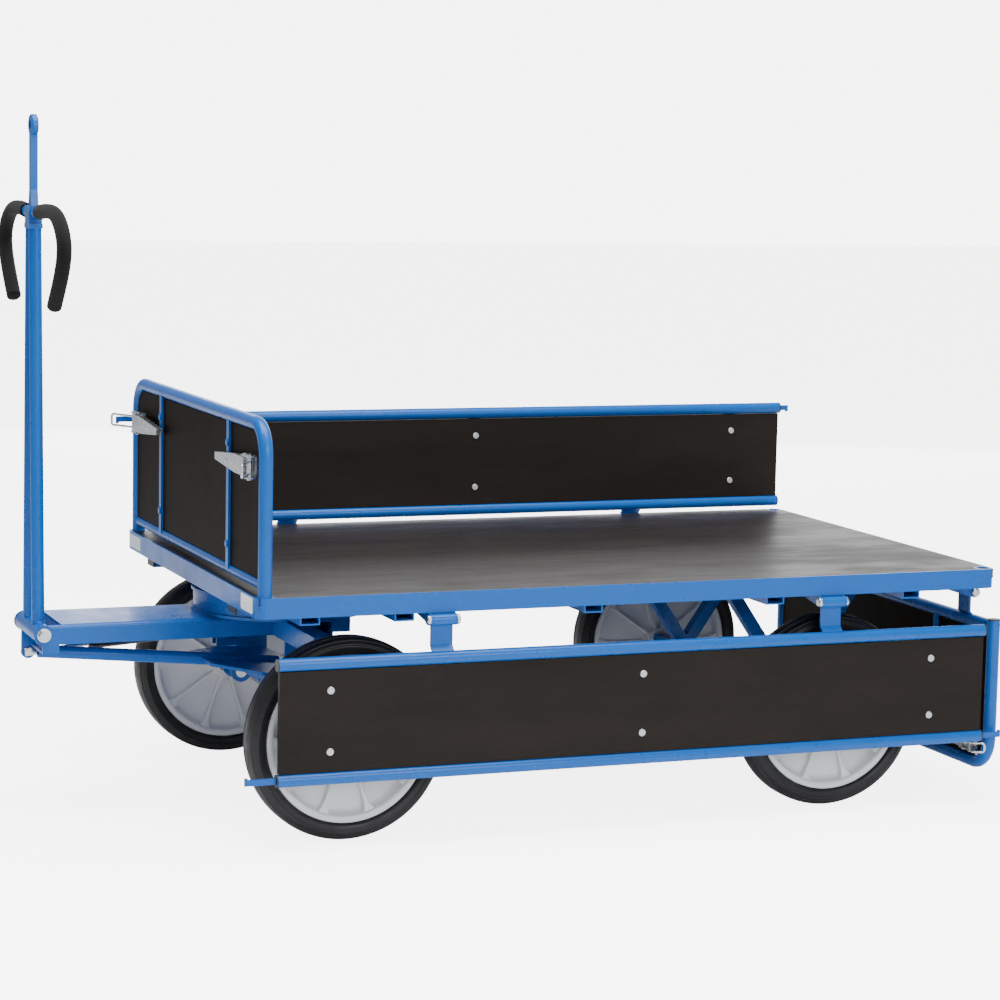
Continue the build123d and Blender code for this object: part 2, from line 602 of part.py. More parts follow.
def rear_axle():
    """A square beam across the truck, on two pairs of struts."""
    x, half = REAR_AXLE_X, AXLE_BEAM / 2
    reach = stub_axle("rear_axle_stubs", x, 320.0)
    beam = block((x - half, x + half), (-reach, reach), (WHEEL_R - half, WHEEL_R + half))
    beam -= block((x - half + 4.0, x + half - 4.0), (-315.0, 315.0), (WHEEL_R - half + 4.0, WHEEL_R + half - 4.0))
    beam -= rod((x, -reach, WHEEL_R), (x, -320.0, WHEEL_R), STUB_R)
    beam -= rod((x, 320.0, WHEEL_R), (x, reach, WHEEL_R), STUB_R)
    keep("rear_axle_frame", beam)
    both_sides("rear_axle_frame", *strut_pair(x, 262.0, BEAM_BOTTOM, WHEEL_R + half, 156.0, 26.0))


def front_axle():
    """Cross tubes on the channel, hangers, a box beam and the plates that carry the stub axles."""
    x, half = FRONT_AXLE_X, FRONT_BEAM / 2
    top = FRONT_BEAM_Z + half
    bottom = FRONT_BEAM_Z - half
    node = "front_axle_frame"
    for start, reach in ((x + 5.0, 365.0), (x - 55.0, 180.0)):
        tube = block((start, start + 40.0), (CHANNEL_HALF, reach), (CHANNEL_BOTTOM, CHANNEL_TOP))
        tube -= block((start + 3.0, start + 37.0), (CHANNEL_HALF, reach), (CHANNEL_BOTTOM + 3.0, CHANNEL_TOP - 3.0))
        both_sides(node, tube)
    both_sides(node, block((x - half, x + 45.0), (332.0, 338.0), (top, CHANNEL_BOTTOM)))
    both_sides(node, block((x - half, x + 45.0), (172.0, 178.0), (top, CHANNEL_BOTTOM)))
    beam = block((x - half, x + half), (-344.0, 344.0), (bottom, top))
    beam -= block((x - half + 4.0, x + half - 4.0), (-344.0, 344.0), (bottom + 4.0, top - 4.0))
    keep(node, beam)
    stub_axle("front_axle_stubs", x, 284.0)
    for y, plate_top in ((284.0, bottom), (344.0, top)):
        plate = block((x - half, x + half), (y, y + 8.0), (WHEEL_R, plate_top))
        plate += rod((x, y, WHEEL_R), (x, y + 8.0, WHEEL_R), half) & block(
            (x - half, x + half), (y, y + 8.0), (WHEEL_R - half, WHEEL_R))
        plate -= rod((x, y, WHEEL_R), (x, y + 8.0, WHEEL_R), STUB_R)
        both_sides(node, plate)


def running_gear():
    for place, x in (("front", FRONT_AXLE_X), ("rear", REAR_AXLE_X)):
        for name, side in (("left", 1), ("right", -1)):
            tyre, rim = wheel(x, side)
            keep(f"tyre_{place}_{name}", tyre)
            keep(f"rim_{place}_{name}", rim)
    rear_axle()
    front_axle()


# ---------------------------------------------------------------- turntable and drawbar channel
def turntable():
    x = FRONT_AXLE_X
    split = (BEAM_BOTTOM + CHANNEL_TOP) / 2
    upper = rod((x, 0, BEAM_BOTTOM - RING_PLATE), (x, 0, BEAM_BOTTOM), TURNTABLE_R)
    upper += rod((x, 0, split + RACE_GAP / 2), (x, 0, BEAM_BOTTOM - RING_PLATE), TURNTABLE_R - 4.0,
                 TURNTABLE_R - 4.0 - RACE_WIDTH)
    lower = rod((x, 0, CHANNEL_TOP), (x, 0, CHANNEL_TOP + RING_PLATE), TURNTABLE_R)
    lower += rod((x, 0, CHANNEL_TOP + RING_PLATE), (x, 0, split - RACE_GAP / 2), TURNTABLE_R - 4.0,
                 TURNTABLE_R - 4.0 - RACE_WIDTH)
    upper -= rod((x, 0, CHANNEL_TOP), (x, 0, BEAM_BOTTOM), KING_R)
    lower -= rod((x, 0, CHANNEL_TOP), (x, 0, BEAM_BOTTOM), KING_R + RUNNING)
    keep("turntable_upper_ring", upper)
    keep("turntable_lower_ring", lower)
    underside = CHANNEL_TOP - CHANNEL_WALL
    bolt = rod((x, 0, underside - 20.0), (x, 0, BEAM_BOTTOM), KING_R)
    bolt += Pos(x, 0, BEAM_BOTTOM) * extrude(RegularPolygon(21.0, 6), 13.0)
    bolt += Pos(x, 0, underside - 14.4) * extrude(RegularPolygon(21.0, 6), 14.0)
    keep("king_bolt", bolt)


def drawbar_channel():
    """An inverted U channel from the turntable to the drawbar pivot, with its cross tubes."""
    inner = CHANNEL_HALF - CHANNEL_WALL
    body = block((CHANNEL_REAR_X, NOSE_X), (-CHANNEL_HALF, CHANNEL_HALF), (CHANNEL_BOTTOM, CHANNEL_TOP))
    body = fillet(body.edges().filter_by(Axis.X).group_by(Axis.Z)[-1], 8.0)
    body += rod((NOSE_X, -CHANNEL_HALF, PIVOT_Z), (NOSE_X, CHANNEL_HALF, PIVOT_Z), NOSE_R)
    body -= block((CHANNEL_REAR_X, NOSE_X + 2 * NOSE_R), (-inner, inner),
                  (CHANNEL_BOTTOM - NOSE_R, CHANNEL_TOP - CHANNEL_WALL))
    body -= block((NOSE_X - 36.0, NOSE_X + 2 * NOSE_R), (-inner, inner), (CHANNEL_BOTTOM, CHANNEL_TOP + NOSE_R))
    body -= rod((NOSE_X, -CHANNEL_HALF, PIVOT_Z), (NOSE_X, CHANNEL_HALF, PIVOT_Z), PIVOT_BOLT_R)
    body = drill(body, (FRONT_AXLE_X, 0, CHANNEL_TOP), (0, 0, 1), 60.0, KING_R + RUNNING)
    for side in (-1, 1):
        middle = LEVER_Y + side * (SPRING_R + 4.0)
        ear = block((ANCHOR_X - 34.0, ANCHOR_X + 32.0), (middle - 2.0, middle + 2.0), (ANCHOR_Z - 36.0,
                                                                                     CHANNEL_TOP - CHANNEL_WALL))
        body += ear - rod((ANCHOR_X - 5.5, middle - 2.0, ANCHOR_Z - 7.0), (ANCHOR_X - 5.5, middle + 2.0, ANCHOR_Z - 7.0),
                          17.0)
    keep("drawbar_channel", body)


def nose_strut():
    """A round strut from a bracket under the left cheek back to a gusset plate on the axle beam."""
    front, rear = Vector(*STRUT_FRONT), Vector(*STRUT_REAR)
    along = (front - rear).normalized()
    solid_strut = rod(STRUT_REAR, STRUT_FRONT, STRUT_R)
    beam_top = FRONT_BEAM_Z + FRONT_BEAM / 2
    strut = rod(STRUT_REAR, STRUT_FRONT, STRUT_R, STRUT_R - 3.0)
    strut &= block((rear.X - 40.0, front.X + 40.0), (-30.0, 30.0), (beam_top, 400.0))
    keep("nose_strut", strut)
    plane = Plane(origin=STRUT_REAR, x_dir=tuple(along), z_dir=(-along.Z, 0, along.X))
    outline = [(167.0, -75.0), (167.0, 75.0), (80.0, 160.0), (-26.0, 160.0), (-26.0, -160.0), (80.0, -160.0)]
    plate = extrude(plane * make_face(Polyline(*outline, close=True)), 3.0, both=True)
    above = extrude(plane.offset(-3.0) * Rectangle(800.0, 800.0), 60.0)
    for side in (-1, 1):
        half_plate = plate & block((0.0, 1200.0), sorted((0.0, side * 300.0)), (0.0, 400.0))
        keep("nose_strut", half_plate - solid_strut)
        pad = block((FRONT_AXLE_X - 20.0, FRONT_AXLE_X + 20.0), sorted((side * 30.0, side * 150.0)),
                    (beam_top, beam_top + 30.0))
        keep("nose_strut", pad - above)
    bracket_low = front.Z + STRUT_R - 3.0
    shelf = block((front.X - 22.0, front.X + 12.0), (-STRUT_R, CHANNEL_HALF), (bracket_low, bracket_low + 5.0))
    cheek = block((front.X - 22.0, front.X + 12.0), (CHANNEL_HALF - CHANNEL_WALL, CHANNEL_HALF),
                  (bracket_low, CHANNEL_BOTTOM))
    cheek -= rod((NOSE_X, 0.0, PIVOT_Z), (NOSE_X, CHANNEL_HALF, PIVOT_Z), NOSE_R)
    keep("nose_strut", (shelf + cheek) - solid_strut)


def pivot_bolt():
    reach = CHANNEL_HALF
    bolt = rod((NOSE_X, -reach, PIVOT_Z), (NOSE_X, reach, PIVOT_Z), PIVOT_BOLT_R)
    for side in (-1, 1):
        bolt += rod((NOSE_X, side * reach, PIVOT_Z), (NOSE_X, side * (reach + 3.0), PIVOT_Z), 14.0)
        nut = extrude(RegularPolygon(11.5, 6), 11.0)
        bolt += Pos(NOSE_X, side * (reach + 3.0), PIVOT_Z) * Rot(-90 * side, 0, 0) * nut
    keep("pivot_bolt", bolt)


# ---------------------------------------------------------------- drawbar
def drawbar():
    inner = CHANNEL_HALF - CHANNEL_WALL - 0.6
    knuckle = rod((NOSE_X, -inner, PIVOT_Z), (NOSE_X, inner, PIVOT_Z), PIVOT_TUBE_R)
    pin = Vector(*LEVER_PIN)
    near, far = pin.Y - LEVER_THICK / 2, pin.Y + LEVER_THICK / 2
    outline = [(NOSE_X - 17.0, PIVOT_Z - 6.0), (NOSE_X + 17.0, PIVOT_Z - 6.0), (pin.X + 13.5, pin.Z + 2.0),
               (pin.X - 13.5, pin.Z + 2.0)]
    web = extrude(make_face(Plane.XZ * Polyline(*outline, close=True)), LEVER_THICK / 2, both=True)
    knuckle += Pos(0, pin.Y, 0) * web + rod((pin.X, near, pin.Z), (pin.X, far, pin.Z), 14.0)
    knuckle -= rod((NOSE_X, -inner, PIVOT_Z), (NOSE_X, inner, PIVOT_Z), PIVOT_BOLT_R + RUNNING)
    knuckle -= rod((pin.X, near, pin.Z), (pin.X, far, pin.Z), LEVER_PIN_R)
    keep("drawbar_knuckle", knuckle)

    shaft = rod((NOSE_X, SHAFT_FOOT_Y, PIVOT_Z), (NOSE_X, SHAFT_TOP_Y, SHAFT_TOP_Z), SHAFT_R, SHAFT_BORE)
    shaft -= rod((NOSE_X, -inner, PIVOT_Z), (NOSE_X, inner, PIVOT_Z), PIVOT_TUBE_R)
    shaft &= block((NOSE_X - 50.0, NOSE_X + 50.0), (0.0, 100.0), (PIVOT_Z, SHAFT_TOP_Z))
    both_sides("drawbar_shafts", shaft)

    collar = block((NOSE_X - SHAFT_R, NOSE_X + SHAFT_R), (-26.5, 26.5), (SHAFT_TOP_Z, SHAFT_TOP_Z + 10.0))
    hub = block((NOSE_X - SHAFT_R, NOSE_X + SHAFT_R), (-HUB_HALF, HUB_HALF), (SHAFT_TOP_Z + 10.0, HANDLE_Z + 13.0))
    half = EYE_THICK / 2
    outline = [(-15.0, HANDLE_Z + 13.0), (15.0, HANDLE_Z + 13.0), (9.0, HANDLE_Z + 45.0), (9.0, EYE_Z),
               (-9.0, EYE_Z), (-9.0, HANDLE_Z + 45.0)]
    face = make_face(Polyline(*[(NOSE_X - half, y, z) for y, z in outline], close=True))
    eye = rod((NOSE_X - half, 0, EYE_Z), (NOSE_X + half, 0, EYE_Z), EYE_R)
    rims = eye.edges().filter_by(GeomType.CIRCLE)
    forging = collar + hub + extrude(face, EYE_THICK, dir=(1, 0, 0)) + fillet(rims, 4.0)
    forging -= rod((NOSE_X - half, 0, EYE_Z), (NOSE_X + half, 0, EYE_Z), EYE_HOLE_R)
    keep("towing_eye", forging)

    path = Spline(*[(NOSE_X, y, z) for y, z in HANDLE_ROUTE], tangents=[(0, 1, 0), (0, -1, -1)])
    section = Plane(origin=path @ 0, z_dir=path % 0)
    bar = sweep(section * Circle(HANDLE_R), path=path)
    sleeve = sweep(section * Circle(GRIP_R), path=path) - bar
    sleeve &= block((NOSE_X - 60.0, NOSE_X + 60.0), (GRIP_START, 400.0), (900.0, 1300.0))
    both_sides("handlebar", bar)
    both_sides("handle_grips", sleeve)


def gas_spring():
    """The spring that lifts the drawbar: a rod with a fork on the lever pin, and its cylinder."""
    pin, tail = Vector(*LEVER_PIN), Vector(*ANCHOR)
    way = (tail - pin).normalized()
    total = (tail - pin).length
    fork_half = LEVER_THICK / 2 + 0.5
    outer = fork_half + 4.0
    lying = Plane(origin=LEVER_PIN, x_dir=tuple(way), z_dir=(0, 1, 0))
    fork = extrude(lying * (Pos(12.0, 0) * Rectangle(40.0, 16.0)), outer, both=True)
    fork -= extrude(lying * (Pos(5.0, 0) * Rectangle(34.0, 18.0)), fork_half, both=True)
    fork += rod((pin.X, pin.Y - outer, pin.Z), (pin.X, pin.Y + outer, pin.Z), LEVER_PIN_R - RUNNING)
    for side in (-1, 1):
        start = pin.Y + side * outer
        fork += rod((pin.X, start, pin.Z), (pin.X, start + side * 3.0, pin.Z), 7.5)
    spindle = rod(tuple(pin + way * 30.0), tuple(pin + way * (total - 85.0)), ROD_R)
    keep("spring_rod", fork + spindle)

    front = pin + way * (total - SPRING_LENGTH)
    end = pin + way * (total - 9.0)
    cylinder = rod(tuple(front), tuple(end), SPRING_R)
    cylinder += rod(tuple(front - way * 8.0), tuple(front), SPRING_R - 3.0)
    cylinder -= rod(tuple(front - way * 8.0), tuple(pin + way * (total - 22.0)), ROD_R + RUNNING)
    cylinder += rod((tail.X, tail.Y - 8.0, tail.Z), (tail.X, tail.Y + 8.0, tail.Z), 14.0)
    cylinder += rod((tail.X, tail.Y - 22.0, tail.Z), (tail.X, tail.Y + 22.0, tail.Z), 5.0)
    for side in (-1, 1):
        start = tail.Y + side * (SPRING_R + 6.6)
        cylinder += rod((tail.X, start, tail.Z), (tail.X, start + side * 3.0, tail.Z), 20.0)
    keep("spring_cylinder", cylinder)


def assemble():
    deck_frame()
    bed_panel()
    chassis()
    front_wall()
    flaps()
    running_gear()
    turntable()
    drawbar_channel()
    nose_strut()
    pivot_bolt()
    drawbar()
    gas_spring()


assemble()
BOX = Compound([solid for solids in PARTS.values() for solid in solids]).bounding_box()
ORIGIN = (BOX.center().X, BOX.center().Y, 0.0)

if __name__ == "__main__":
    os.makedirs("parts", exist_ok=True)
    for node, solids in PARTS.items():
        placed = [Pos(-ORIGIN[0], -ORIGIN[1], 0.0) * solid for solid in solids]
        export_step(Compound(placed), f"parts/{node}.step")
    print(len(PARTS), "nodes", sum(len(s) for s in PARTS.values()), "solids; origin", ORIGIN, "size", BOX.size)
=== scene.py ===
# %% [markdown]
# # A platform truck with drop sides
# A four-wheeled hand truck: a blue steel frame, coated plywood boards, plastic rims with solid
# rubber tyres, and an upright drawbar that turns the front axle. The exact steelwork comes from
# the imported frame. This script gives every surface its finish and makes the parts whose shape
# shows most: the ribbed rims, the grooved tyres, the labels, rivets and weld beads.

# %% Load the frame
import math

import bmesh
import bpy
from mathutils import Matrix, Vector


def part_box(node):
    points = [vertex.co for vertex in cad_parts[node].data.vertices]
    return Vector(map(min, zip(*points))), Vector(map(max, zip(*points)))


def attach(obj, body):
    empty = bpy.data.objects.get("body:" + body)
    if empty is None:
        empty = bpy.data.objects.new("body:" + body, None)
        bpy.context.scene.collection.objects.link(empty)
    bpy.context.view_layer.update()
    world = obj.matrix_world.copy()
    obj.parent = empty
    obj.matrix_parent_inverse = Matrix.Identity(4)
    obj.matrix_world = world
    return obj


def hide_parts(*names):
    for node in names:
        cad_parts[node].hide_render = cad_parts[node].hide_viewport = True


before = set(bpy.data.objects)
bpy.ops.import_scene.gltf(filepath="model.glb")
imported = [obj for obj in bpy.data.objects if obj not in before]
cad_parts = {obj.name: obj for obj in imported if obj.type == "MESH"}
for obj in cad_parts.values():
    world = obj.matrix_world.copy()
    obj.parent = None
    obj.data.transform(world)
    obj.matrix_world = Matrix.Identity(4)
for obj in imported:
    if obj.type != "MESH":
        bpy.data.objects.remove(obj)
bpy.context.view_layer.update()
MM = 0.001
bed_low, bed_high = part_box("deck_frame")
bed_middle = Vector(((bed_low.x + bed_high.x) / 2, (bed_low.y + bed_high.y) / 2, 0.0))


def place(x, y, z):
    """A point given in millimetres from the middle of the bed, floor at 0, in the frame's metres."""
    return bed_middle + Vector((x, y, z)) * MM


# %% [markdown]
# ## Tools for finishes
# A finish is a shader with a colour, a roughness and sometimes a fine relief. Colours are written
# as they would be picked on a screen, and one function turns them into linear light.

# %% Colour and node helpers
def linear(hex_colour):
    """A screen colour such as #2B7EC1 as linear light, with full opacity."""
    parts = [int(hex_colour[start:start + 2], 16) / 255 for start in (1, 3, 5)]
    light = [part / 12.92 if part <= 0.04045 else ((part + 0.055) / 1.055) ** 2.4 for part in parts]
    return (*light, 1.0)


def new_finish(name, colour, **values):
    """A material whose shader has this colour and these plain values. Returns it and its shader."""
    material = bpy.data.materials.new(name)
    material.use_nodes = True
    shader = material.node_tree.nodes["Principled BSDF"]
    shader.inputs["Base Color"].default_value = linear(colour)
    for socket, value in values.items():
        shader.inputs[socket].default_value = value
    material.diffuse_color = linear(colour)
    return material, shader


def add_node(material, kind, inputs=None, **settings):
    """One new node with its settings. An input is a value, or a socket to link from."""
    node = material.node_tree.nodes.new(kind)
    for key, value in settings.items():
        setattr(node, key, value)
    for socket, value in (inputs or {}).items():
        if isinstance(value, bpy.types.NodeSocket):
            material.node_tree.links.new(value, node.inputs[socket])
        else:
            node.inputs[socket].default_value = value
    return node


def grain(material, size_mm, detail=3.0, stretch=(1.0, 1.0, 1.0), roughness=0.5):
    """Cloudy noise whose blobs are about size_mm across, before the stretch."""
    where = add_node(material, "ShaderNodeTexCoord").outputs["Object"]
    scaled = add_node(material, "ShaderNodeMapping", {"Vector": where, "Scale": stretch})
    noise = {"Vector": scaled.outputs["Vector"], "Scale": 1.0 / (size_mm * MM), "Detail": detail,
             "Roughness": roughness}
    return add_node(material, "ShaderNodeTexNoise", noise).outputs["Fac"]


def spread(material, fac, low, high, start=0.35, end=0.65):
    """Turns noise into a value between low and high."""
    limits = {"Value": fac, "From Min": start, "From Max": end, "To Min": low, "To Max": high}
    return add_node(material, "ShaderNodeMapRange", limits).outputs["Result"]


def tint(material, shader, fac, dark, light):
    """Lets the colour drift between two hexes."""
    ramp = add_node(material, "ShaderNodeValToRGB", {"Fac": fac})
    ramp.color_ramp.elements[0].color = linear(dark)
    ramp.color_ramp.elements[1].color = linear(light)
    ramp.color_ramp.elements[0].position, ramp.color_ramp.elements[1].position = 0.3, 0.7
    material.node_tree.links.new(ramp.outputs["Color"], shader.inputs["Base Color"])


def relief(material, shader, height, depth_mm, strength=1.0):
    """Raises the surface by height, so that highlights break up as on the real finish."""
    bump = add_node(material, "ShaderNodeBump",
                    {"Height": height, "Distance": depth_mm * MM, "Strength": strength})
    material.node_tree.links.new(bump.outputs["Normal"], shader.inputs["Normal"])


def vary(material, shader, socket, value):
    """Lets one of the shader's values follow a pattern."""
    material.node_tree.links.new(value, shader.inputs[socket])


print("finish tools ready")

# %% [markdown]
# ## Blue powder coat
# The steel is sprayed with dry epoxy-polyester powder and baked at about 180 degrees. It flows
# into a glossy film with a slight orange peel a few millimetres across, which gives the long
# tubes soft-edged pale highlights.

# %% Powder coat
blue_coat, shader = new_finish("blue powder coat", "#0056A8",
                               **{"Roughness": 0.27, "Specular IOR Level": 0.25,
                                  "Coat Weight": 0.12, "Coat Roughness": 0.1})
relief(blue_coat, shader, grain(blue_coat, 3.5, 2.0), 0.05, 0.5)
vary(blue_coat, shader, "Roughness", spread(blue_coat, grain(blue_coat, 60.0), 0.26, 0.36))
print("made", blue_coat.name)

# %% [markdown]
# ## Film-faced birch plywood
# The boards are birch ply pressed between sheets of dark phenolic film. The bed and the front
# wall carry smooth film: faint cloudy streaks run along the veneer, with a satin gloss. The film
# of the drop sides is pressed against a wire mesh, which leaves a fine woven print that breaks up
# reflections and makes those boards look duller and browner.

# %% Bed and wall film
# long streaks along the bed and a satin sheen that grows towards the light
bed_film, shader = new_finish("smooth phenolic film, bed", "#24201D",
                              **{"Roughness": 0.42, "Specular IOR Level": 0.2})
streaks = grain(bed_film, 160.0, 5.0, (0.35, 1.6, 1.0), 0.6)
tint(bed_film, shader, streaks, "#1E1A18", "#2A2522")
clouds = grain(bed_film, 90.0, 4.0, (0.5, 1.4, 1.0))
vary(bed_film, shader, "Roughness", spread(bed_film, clouds, 0.36, 0.48))
relief(bed_film, shader, grain(bed_film, 7.0, 2.0, (0.4, 1.0, 1.0)), 0.04, 0.35)

# painted shade: the bed's film again, darkened to a deep warm black with almost no reflection, because a
# wall faces no light
shaded_wall_film, shader = new_finish("smooth phenolic film, wall, painted shade", "#140E0A",
                               **{"Roughness": 0.45, "Specular IOR Level": 0.02})
tint(shaded_wall_film, shader, grain(shaded_wall_film, 120.0, 5.0, (1.0, 1.5, 0.4), 0.6), "#120C08", "#1B130D")
relief(shaded_wall_film, shader, grain(shaded_wall_film, 8.0, 2.0), 0.04, 0.3)
print("made", bed_film.name, "and", shaded_wall_film.name)

# %% Mesh-print film
MESH_PITCH = 2.6                       # mm between two wires of the press mesh
BAND_LENGTH = 2 * math.pi / 20         # one band of a wave pattern at scale 1
mesh_scale = BAND_LENGTH / (MESH_PITCH * MM)
mesh_film, shader = new_finish("mesh-print phenolic film", "#17120F",
                               **{"Roughness": 0.5, "Specular IOR Level": 0.15})
tint(mesh_film, shader, grain(mesh_film, 200.0, 5.0, (0.4, 1.0, 1.6), 0.65), "#14100D", "#201A17")
at = add_node(mesh_film, "ShaderNodeTexCoord").outputs["Object"]
wires = {"Vector": at, "Scale": mesh_scale, "Distortion": 0.3}
weft = add_node(mesh_film, "ShaderNodeTexWave", wires, bands_direction="X").outputs["Fac"]
warp = add_node(mesh_film, "ShaderNodeTexWave", wires, bands_direction="Z").outputs["Fac"]
weave = add_node(mesh_film, "ShaderNodeMath", {0: weft, 1: warp}, operation="MULTIPLY")
relief(mesh_film, shader, weave.outputs["Value"], 0.25, 0.6)
print("made", mesh_film.name)

# %% [markdown]
# ## Rubber, plastic and foam
# The tyres are moulded in solid rubber, dull with a slight bloom. The rims are injection-moulded
# in pale grey polypropylene, smooth enough to catch a soft highlight. Tube ends are closed with
# black polyethylene plugs. The grips are nitrile foam sleeves with a fine closed-cell skin.

# %% Soft and plastic finishes
# moulded rubber: black with a grey sheen where it turns away
tyre_rubber, shader = new_finish("solid black rubber", "#131316",
                                 **{"Roughness": 0.45, "Specular IOR Level": 0.35})
tint(tyre_rubber, shader, grain(tyre_rubber, 40.0, 4.0), "#111114", "#1A1A1D")
vary(tyre_rubber, shader, "Roughness", spread(tyre_rubber, grain(tyre_rubber, 25.0), 0.4, 0.52))
relief(tyre_rubber, shader, grain(tyre_rubber, 1.2, 2.0), 0.05, 0.5)

# moulded against polished steel: pale, with a soft even highlight
rim_plastic, shader = new_finish("pale grey polypropylene", "#D2D4D7", **{"Roughness": 0.36})
vary(rim_plastic, shader, "Roughness", spread(rim_plastic, grain(rim_plastic, 30.0), 0.32, 0.42))
relief(rim_plastic, shader, grain(rim_plastic, 2.0, 2.0), 0.03, 0.4)

# a lightly spark-eroded mould leaves the caps a dull black
cap_plastic, shader = new_finish("black polyethylene", "#151516", **{"Roughness": 0.45})
relief(cap_plastic, shader, grain(cap_plastic, 0.8, 2.0), 0.04, 0.5)

# foamed and cured over a mandrel: no shine at all, and a fine pitted skin
grip_foam, shader = new_finish("black nitrile foam", "#0F1012",
                               **{"Roughness": 0.9, "Specular IOR Level": 0.15,
                                  "Sheen Weight": 0.05, "Sheen Roughness": 0.6})
relief(grip_foam, shader, grain(grip_foam, 0.9, 3.0), 0.25, 0.8)
print("made rubber, rim, cap and foam finishes")

# %% [markdown]
# ## Zinc plate and black spring steel
# Latches, bolts and pins are electroplated with bright zinc. The plate is a slightly cloudy
# mirror with a cool tone. The gas spring's cylinder is painted black and its rod is polished.

# %% Metal finishes
# bright plate over pressed sheet: a cloudy mirror
zinc_plate, shader = new_finish("bright zinc plate", "#C8CCD0", **{"Metallic": 1.0, "Roughness": 0.27})
tint(zinc_plate, shader, grain(zinc_plate, 12.0, 4.0), "#BCC1C6", "#D6D8DA")
vary(zinc_plate, shader, "Roughness", spread(zinc_plate, grain(zinc_plate, 6.0, 3.0), 0.22, 0.36))
relief(zinc_plate, shader, grain(zinc_plate, 2.5, 2.0), 0.03, 0.4)

# barrel-plated bolts: the same metal, scuffed to a dull grey
bolt_zinc, shader = new_finish("dull zinc plate", "#C3C7CA", **{"Metallic": 1.0, "Roughness": 0.42})
vary(bolt_zinc, shader, "Roughness", spread(bolt_zinc, grain(bolt_zinc, 4.0, 3.0), 0.38, 0.5))

# dipped and baked enamel: a hard glossy black
black_paint, shader = new_finish("black stove enamel", "#101113", **{"Roughness": 0.28, "Coat Weight": 0.4})
relief(black_paint, shader, grain(black_paint, 3.0, 2.0), 0.03, 0.4)

# ground and chromed: sharp streaks of light along the rod
rod_steel, shader = new_finish("polished hard-chromed steel", "#B9BCC0",
                               **{"Metallic": 1.0, "Roughness": 0.16})
relief(rod_steel, shader, grain(rod_steel, 0.6, 2.0, (0.05, 1.0, 1.0)), 0.01, 0.3)

print("made", zinc_plate.name, bolt_zinc.name, black_paint.name, rod_steel.name, sep=", ")

# %% Label finishes
# printed vinyl under clear film: flat white with a thin gloss
label_vinyl, shader = new_finish("white vinyl label", "#F1F2F3", **{"Roughness": 0.32, "Coat Weight": 0.3})
relief(label_vinyl, shader, grain(label_vinyl, 15.0, 2.0), 0.03, 0.3)

# anodised foil: a pale blue-grey
type_plate_foil, shader = new_finish("pale grey foil label", "#B9C6D2", **{"Roughness": 0.3})
relief(type_plate_foil, shader, grain(type_plate_foil, 10.0, 2.0), 0.03, 0.3)
print("made", label_vinyl.name, "and", type_plate_foil.name)

# %% [markdown]
# ## Which finish goes on which steel part
# The towing eye is painted with the drawbar, as it is welded to it. Panel bolts are dull flat
# discs, and the latches and the wheel nuts are brighter.

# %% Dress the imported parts
SLOT_FINISH = {"blue_paint": blue_coat, "deck_board": bed_film, "wall_board": mesh_film,
               "tyre": tyre_rubber, "rim_plastic": rim_plastic, "black_plastic": cap_plastic,
               "grip_foam": grip_foam, "zinc_steel": zinc_plate, "black_steel": black_paint}
# the front wall and the rear flap take the darkened copy of the smooth film, which is painted shade
SPECIAL_FINISH = {"towing_eye": blue_coat, "front_wall_panel": shaded_wall_film, "rear_flap_panel": shaded_wall_film,
                  "left_flap_bolts": bolt_zinc, "right_flap_bolts": bolt_zinc, "spring_rod": rod_steel,
                  "front_wall_screws": blue_coat, "rear_flap_screws": blue_coat}
NODE_SLOT = {"bed_panel": "deck_board", "front_wall_panel": "wall_board",
             "left_flap_panel": "wall_board", "right_flap_panel": "wall_board",
             "rear_flap_panel": "wall_board", "spring_cylinder": "black_steel",
             "spring_rod": "zinc_steel", "handle_grips": "grip_foam", "beam_end_caps": "black_plastic"}
ZINC_WORDS = ("latch_", "bolt", "screws", "hinge_pins", "_stubs")


def slot_of(node):
    """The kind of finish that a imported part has, from its name."""
    if node in NODE_SLOT:
        return NODE_SLOT[node]
    if node.endswith("_caps"):
        return "black_plastic"
    if node.startswith("tyre_"):
        return "tyre"
    if node.startswith("rim_"):
        return "rim_plastic"
    if any(word in node for word in ZINC_WORDS):
        return "zinc_steel"
    return "blue_paint"


def dress(thing, finish):
    """Gives every face of a mesh one finish."""
    if not thing.material_slots:
        thing.data.materials.append(finish)
    for slot in thing.material_slots:
        slot.material = finish


for node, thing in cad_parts.items():
    dress(thing, SPECIAL_FINISH.get(node, SLOT_FINISH[slot_of(node)]))
print("dressed", len(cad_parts), "packed parts")

# %% [markdown]
# ## Turned shapes
# A rim or a tyre is moulded as a body of revolution, so both start as an outline of radius and
# width that is turned round the axle.

# %% Turning an outline
WHEEL_STEPS = 180                      # facets round a wheel, fine enough to look round


def turned(mesh, outline, steps=WHEEL_STEPS):
    """Turns a closed outline of (radius, width) points in millimetres round the Y axis."""
    rings = []
    for step in range(steps):
        angle = 2 * math.pi * step / steps
        across, up = math.cos(angle) * MM, math.sin(angle) * MM
        rings.append([mesh.verts.new((r * across, w * MM, r * up)) for r, w in outline])
    count = len(outline)
    for step in range(steps):
        here, after = rings[step], rings[(step + 1) % steps]
        for i in range(count):
            j = (i + 1) % count
            mesh.faces.new((here[i], here[j], after[j], after[i]))


def rounded(outline, corners, steps=4):
    """Rounds the corners of a closed outline. corners gives each point's radius, 0 to leave it sharp."""
    result, count = [], len(outline)
    for i, radius in enumerate(corners):
        corner = Vector(outline[i])
        if not radius:
            result.append(tuple(corner))
            continue
        before, after = Vector(outline[i - 1]), Vector(outline[(i + 1) % count])
        reach = min(radius, (before - corner).length * 0.48, (after - corner).length * 0.48)
        start = corner + (before - corner).normalized() * reach
        end = corner + (after - corner).normalized() * reach
        for step in range(steps + 1):
            t = step / steps
            result.append(tuple(start * (1 - t) ** 2 + corner * 2 * t * (1 - t) + end * t ** 2))
    return result


